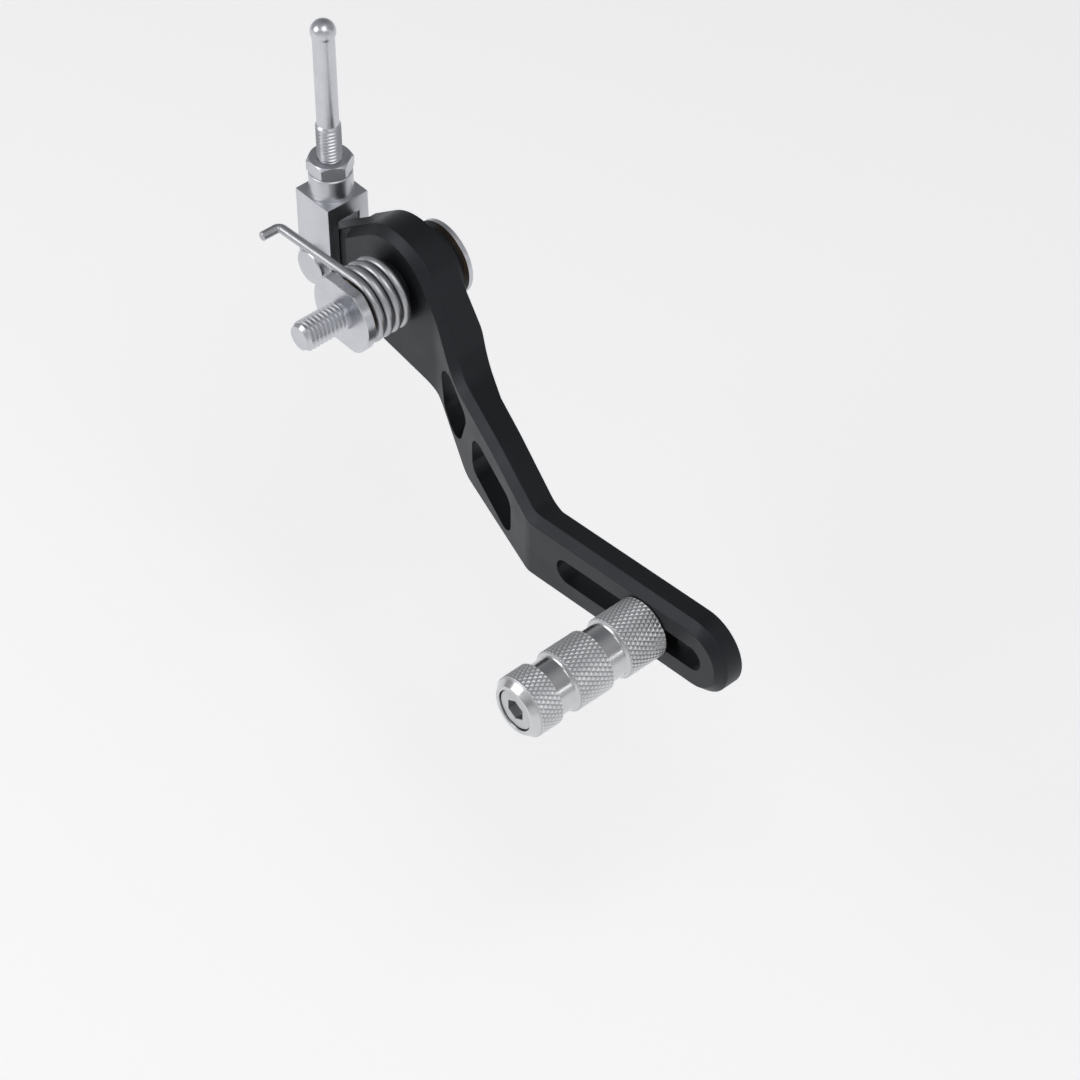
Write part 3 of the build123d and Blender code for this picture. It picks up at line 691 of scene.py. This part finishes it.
# Lock washer and slot nut: two small stainless pieces that keep the peg's screw tight.
# The washer is a split ring under the head, and the nut a plate that slides in the counter-slot,
# with a hair's gap beneath it, like the one behind the peg, so that neither rubs on the arm.
washer_steel = new_finish(
    "tumbled_stainless",
    steel_colour,
    metal=1.0,
    grain_scale=2200.0,
    grain_height=0.00002,
    cloud_scale=220.0,
    roughness=(0.34, 0.46),
)
lock_washer = merged_copy("peg_lock_washer", "lock_washer", edge_width=0.00012)
fit_piece(lock_washer, "peg", washer_steel)
sliding_nut = merged_copy("slot_nut", "sliding_nut", edge_width=0.00015)
nut_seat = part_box("slot_nut")[0][1]
pick_points(sliding_nut, [v.index for v in sliding_nut.data.vertices if v.co.y < nut_seat + 1e-6])
bpy.ops.transform.translate(value=(0, slide_gap, 0))
bpy.ops.object.mode_set(mode="OBJECT")
fit_piece(sliding_nut, "peg", washer_steel)

# Pivot pin: turned steel, with a threaded stud that it is held by and a flange with two flats.
# The pedal turns on its journal. It is zinc plated, and driven by a hexagon in its inner end.
pin_low, pin_high = (Vector(corner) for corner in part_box("pivot_pin"))
flange_radius = (pin_high.x - pin_low.x) / 2
flange_half = 0.011
flange_height = 0.0035
flange_chamfer = 0.0004
m10_radius = 0.0050
m10_tip_radius = 0.0040
m10_pitch = 0.0015
m10_depth = 0.0009
stud_neck_radius = 0.0046
stud_chamfer = 0.001
journal_radius = 0.0060
clip_groove_radius = 0.0054
clip_groove_low = 0.0421
clip_groove_high = 0.0431
pivot_place = (0, 0, 0)
stud_thread = thread_profile(m10_radius, pin_low.y + stud_chamfer, -0.0008, m10_pitch)
pin_profile = [
    (m10_tip_radius, pin_low.y),
    (m10_radius, pin_low.y + stud_chamfer),
    *stud_thread[1:],
    (stud_neck_radius, stud_thread[-1][1] + 0.0003),
    (stud_neck_radius, 0),
    (flange_radius - flange_chamfer, 0),
    (flange_radius, flange_chamfer),
    (flange_radius, flange_height - flange_chamfer),
    (flange_radius - flange_chamfer, flange_height),
    (journal_radius, flange_height),
    (journal_radius, clip_groove_low),
    (clip_groove_radius, clip_groove_low),
    (clip_groove_radius, clip_groove_high),
    (journal_radius, clip_groove_high),
    (journal_radius, pin_high.y - 0.0007),
    (0.0053, pin_high.y),
    (0.0044, pin_high.y),
]
pin = lathe_start(
    "plated_pivot_pin", (0, pin_low.y, 0), across_bike, m10_tip_radius, thread_points, "NGON"
)
lathe_to(pin_profile, pivot_place, inboard)
lathe_close(sharp_angle=28)
cut_thread(pin, pivot_place, inboard, stud_thread, m10_pitch, m10_depth)
for side in (-1, 1):
    rim = [v.index for v in pin.data.vertices if side * v.co.z > flange_half]
    pick_points(pin, rim)
    bpy.ops.transform.resize(value=(1, 1, 0), center_override=(0, 0, side * flange_half))
    bpy.ops.object.mode_set(mode="OBJECT")
sink_hexagon(pin, socket_radius, (0, pin_high.y, 0), across_bike, depth=0.005)
even_shading(pin)
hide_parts("pivot_pin")
bright_zinc = (0.60, 0.61, 0.64)
plated_pin = turned_finish(
    "zinc_plated_pin", bright_zinc, pivot_place, across_bike, rings_scale=7000.0, roughness=(0.24, 0.36)
)
fit_piece(pin, "pivot", plated_pin)

# Bushes and seals: a flanged bush of sintered bronze is pressed into each end of the hub.
# A moulded rubber ring outside each one keeps the dirt off it.
bronze = new_finish(
    "sintered_bronze",
    (0.50, 0.33, 0.16),
    metal=1.0,
    grain_scale=4000.0,
    grain_height=0.00005,
    cloud_scale=400.0,
    roughness=(0.38, 0.55),
)
rubber = new_finish(
    "seal_rubber_matt",
    (0.022, 0.022, 0.023),
    metal=0.0,
    grain_scale=5000.0,
    grain_height=0.00003,
    cloud_scale=300.0,
    roughness=(0.62, 0.75),
)
for end in ("outboard", "inboard"):
    bush = merged_copy(f"{end}_bush", f"{end}_bronze_bush", edge_width=0.00012)
    fit_piece(bush, "pedal", bronze)
    seal = merged_copy(f"{end}_dust_seal", f"{end}_rubber_seal", edge_width=0.0003)
    fit_piece(seal, "pivot", rubber)

# Pivot washer and circlip: they keep the pedal on its pin, inboard of the hub.
# The washer is zinc plated, and the clip is hardened spring steel with a black phosphate coat.
dull_zinc = (0.58, 0.59, 0.62)
plated_washer = turned_finish(
    "zinc_plated_washer", dull_zinc, pivot_place, across_bike, rings_scale=4000.0, roughness=(0.28, 0.42)
)
phosphate = new_finish(
    "black_phosphate",
    (0.055, 0.055, 0.058),
    metal=0.7,
    grain_scale=3500.0,
    grain_height=0.00003,
    cloud_scale=350.0,
    roughness=(0.42, 0.58),
)
thrust_washer = merged_copy("pivot_washer", "plated_thrust_washer", edge_width=0.00015)
fit_piece(thrust_washer, "pivot", plated_washer)
circlip = merged_copy("pivot_circlip", "phosphated_circlip", edge_width=0.00008)
fit_piece(circlip, "pivot", phosphate)

# Return spring: steel wire of 3 mm, cold coiled round the hub's nose and zinc plated.
# One end is hooked into the arm, the other rests on a fixed stop, so the coil winds up between.
wire_radius = 0.0015
wire_cut = 0.0003
coil_radius = 0.011
coil_low = 0.0058
coil_high = 0.0174
coil_turns = 3.5
bend_radius = 0.0018
hook_length = 0.015
stop_length = 0.034
end_length = 0.007
wire_tangent = Vector((coil_turns * math.tau * coil_radius, coil_high - coil_low, 0)).normalized()
bpy.ops.object.select_all(action="DESELECT")
bpy.ops.mesh.primitive_circle_add(
    vertices=20, radius=wire_radius, location=(0, coil_low, coil_radius), rotation=(0, math.pi / 2, 0)
)
spring = bpy.context.object
spring.name = "coiled_return_spring"
bpy.ops.object.transform_apply(location=True, rotation=True, scale=True)
winding = spring.modifiers.new("winding", "SCREW")
winding.axis = "Y"
winding.angle = math.pi
winding.screw_offset = (coil_high - coil_low) / (2 * coil_turns)
winding.iterations = int(2 * coil_turns)
winding.steps = 30
winding.render_steps = 30
winding.use_merge_vertices = False
bpy.ops.object.modifier_apply(modifier=winding.name)


def draw_leg(centre, outward, length, turn_to):
    """Draws one end of the wire out straight, bends it and finishes it with a cut end."""
    ends = [
        v.index
        for v in spring.data.vertices
        if abs(v.co.x) < 1e-5 and (v.co - centre).length < wire_radius * 1.01
    ]
    pick_points(spring, ends)
    bend_angle = outward.angle(turn_to)
    setback = bend_radius * math.tan(bend_angle / 2)
    bpy.ops.mesh.extrude_region_move(TRANSFORM_OT_translate={"value": outward * (length - setback)})
    inward = (turn_to - outward * turn_to.dot(outward)).normalized()
    bend_centre = centre + outward * (length - setback) + inward * bend_radius
    bpy.ops.mesh.spin(
        steps=8, angle=bend_angle, center=bend_centre, axis=inward.cross(outward), use_auto_merge=False
    )
    bpy.ops.mesh.extrude_region_move(
        TRANSFORM_OT_translate={"value": turn_to * (end_length - setback - wire_cut)}
    )
    bpy.ops.mesh.extrude_region_move(TRANSFORM_OT_translate={"value": turn_to * wire_cut})
    tip = centre + outward * length + turn_to * end_length
    bpy.ops.transform.resize(value=(0.8, 0.8, 0.8), center_override=tip)
    bpy.ops.mesh.edge_face_add()
    bpy.ops.object.mode_set(mode="OBJECT")


hook_start = Vector((0, coil_high, -coil_radius))
draw_leg(hook_start, wire_tangent * Vector((-1, 1, 0)), hook_length, Vector(inboard))
draw_leg(Vector((0, coil_low, coil_radius)), -wire_tangent, stop_length, Vector((0, -1, 0)))
bpy.ops.object.mode_set(mode="EDIT")
lathe_close(sharp_angle=40)
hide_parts("return_spring")
spring_finish = new_finish(
    "zinc_plated_wire",
    (0.47, 0.475, 0.49),
    metal=1.0,
    grain_scale=2500.0,
    grain_height=0.00003,
    cloud_scale=260.0,
    roughness=(0.3, 0.45),
)
spring.data.materials.append(spring_finish)
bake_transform(spring)

# Clevis: a square steel fork with a turned neck, milled from bar, tapped M8 and zinc plated.
# A headed pin joins it to the arm's ear, and a washer and a split pin keep that pin in.
fork_half = 0.008
pin_head_radius = 0.006
clevis_centre = (
    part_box("pushrod_clevis")[0][0] + fork_half,
    0,
    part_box("clevis_pin")[0][2] + pin_head_radius,
)
plated_fork = new_finish(
    "zinc_plated_fork",
    dull_zinc,
    metal=1.0,
    grain_scale=1800.0,
    grain_height=0.00002,
    cloud_scale=130.0,
    roughness=(0.28, 0.42),
)
plated_round = turned_finish(
    "zinc_plated_clevis_pin",
    bright_zinc,
    clevis_centre,
    across_bike,
    rings_scale=7000.0,
    roughness=(0.24, 0.34),
)
for node, name, edge_width, finish in (
    ("pushrod_clevis", "plated_clevis", 0.0004, plated_fork),
    ("clevis_pin", "headed_clevis_pin", 0.0002, plated_round),
    ("clevis_washer", "plated_clevis_washer", 0.00015, plated_round),
    ("clevis_split_pin", "bent_split_pin", 0.00008, plated_fork),
):
    clevis_piece = merged_copy(node, name, edge_width, clamp=node != "pushrod_clevis")
    fit_piece(clevis_piece, "rod", finish)

# Pushrod: a steel rod with a rolled M8 thread below and a ball end that works the brake.
# A thin hexagon nut locks it in the clevis, so its length can be set. Both are zinc plated.
upward = (0, 0, 1)
rod_low, rod_high = (Vector(corner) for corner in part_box("pushrod"))
rod_axis = Vector(((rod_low.x + rod_high.x) / 2, (rod_low.y + rod_high.y) / 2, 0))
rod_start = rod_axis + Vector((0, 0, rod_low.z))
ball_radius = 0.004
ball_centre = rod_high.z - ball_radius
shank_radius = 0.0035
thread_length = 0.033
rod_thread = thread_profile(m8_radius, rod_low.z + m8_depth, rod_low.z + thread_length, m8_pitch)
rod_profile = [
    (m8_tip_radius, rod_low.z),
    *rod_thread,
    (m8_radius, rod_low.z + thread_length + 0.0003),
    (shank_radius, rod_low.z + thread_length + 0.001),
]
ball_start = math.asin(shank_radius / ball_radius)
ball_steps = 12
for step in range(ball_steps):
    latitude = math.pi - ball_start - (math.pi - ball_start) * step / ball_steps
    rod_profile.append(
        (ball_radius * math.sin(latitude), ball_centre + ball_radius * math.cos(latitude))
    )
rod_profile.append((0.0002, rod_high.z))
rod = lathe_start("ball_ended_pushrod", rod_start, (0, 0, 0), m8_tip_radius, thread_points, "NGON")
lathe_to(rod_profile, rod_axis, upward)
lathe_close(sharp_angle=28)
cut_thread(rod, rod_axis, upward, rod_thread, m8_pitch, m8_depth)
even_shading(rod)
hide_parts("pushrod")
plated_rod = turned_finish(
    "zinc_plated_rod", bright_zinc, rod_axis, (0, 0, 0), rings_scale=6000.0, roughness=(0.24, 0.36)
)
fit_piece(rod, "rod", plated_rod)
lock_nut = merged_copy("pushrod_lock_nut", "thin_lock_nut", edge_width=0)
nut_low, nut_high = (Vector(corner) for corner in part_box("pushrod_lock_nut"))
nut_height = nut_high.z - nut_low.z
nut_across = max(nut_high.x - nut_low.x, nut_high.y - nut_low.y)
bpy.ops.object.select_all(action="DESELECT")
bpy.ops.mesh.primitive_cylinder_add(
    vertices=64,
    radius=nut_across / 2 + 0.0001,
    depth=nut_height + 0.0004,
    location=rod_axis + Vector((0, 0, nut_low.z + nut_height / 2)),
)
chamfer_shape = bpy.context.object
turned_rims = chamfer_shape.modifiers.new("turned_rims", "BEVEL")
turned_rims.width = 0.0013
turned_rims.segments = 1
turned_rims.limit_method = "ANGLE"
turned_rims.angle_limit = math.radians(60)
bpy.ops.object.modifier_apply(modifier=turned_rims.name)
bpy.context.view_layer.objects.active = lock_nut
turned_corners = lock_nut.modifiers.new("turned_corners", "BOOLEAN")
turned_corners.object = chamfer_shape
turned_corners.operation = "INTERSECT"
turned_corners.solver = "EXACT"
bpy.ops.object.modifier_apply(modifier=turned_corners.name)
bpy.data.objects.remove(chamfer_shape, do_unlink=True)
even_shading(lock_nut)
fit_piece(lock_nut, "rod", plated_fork)
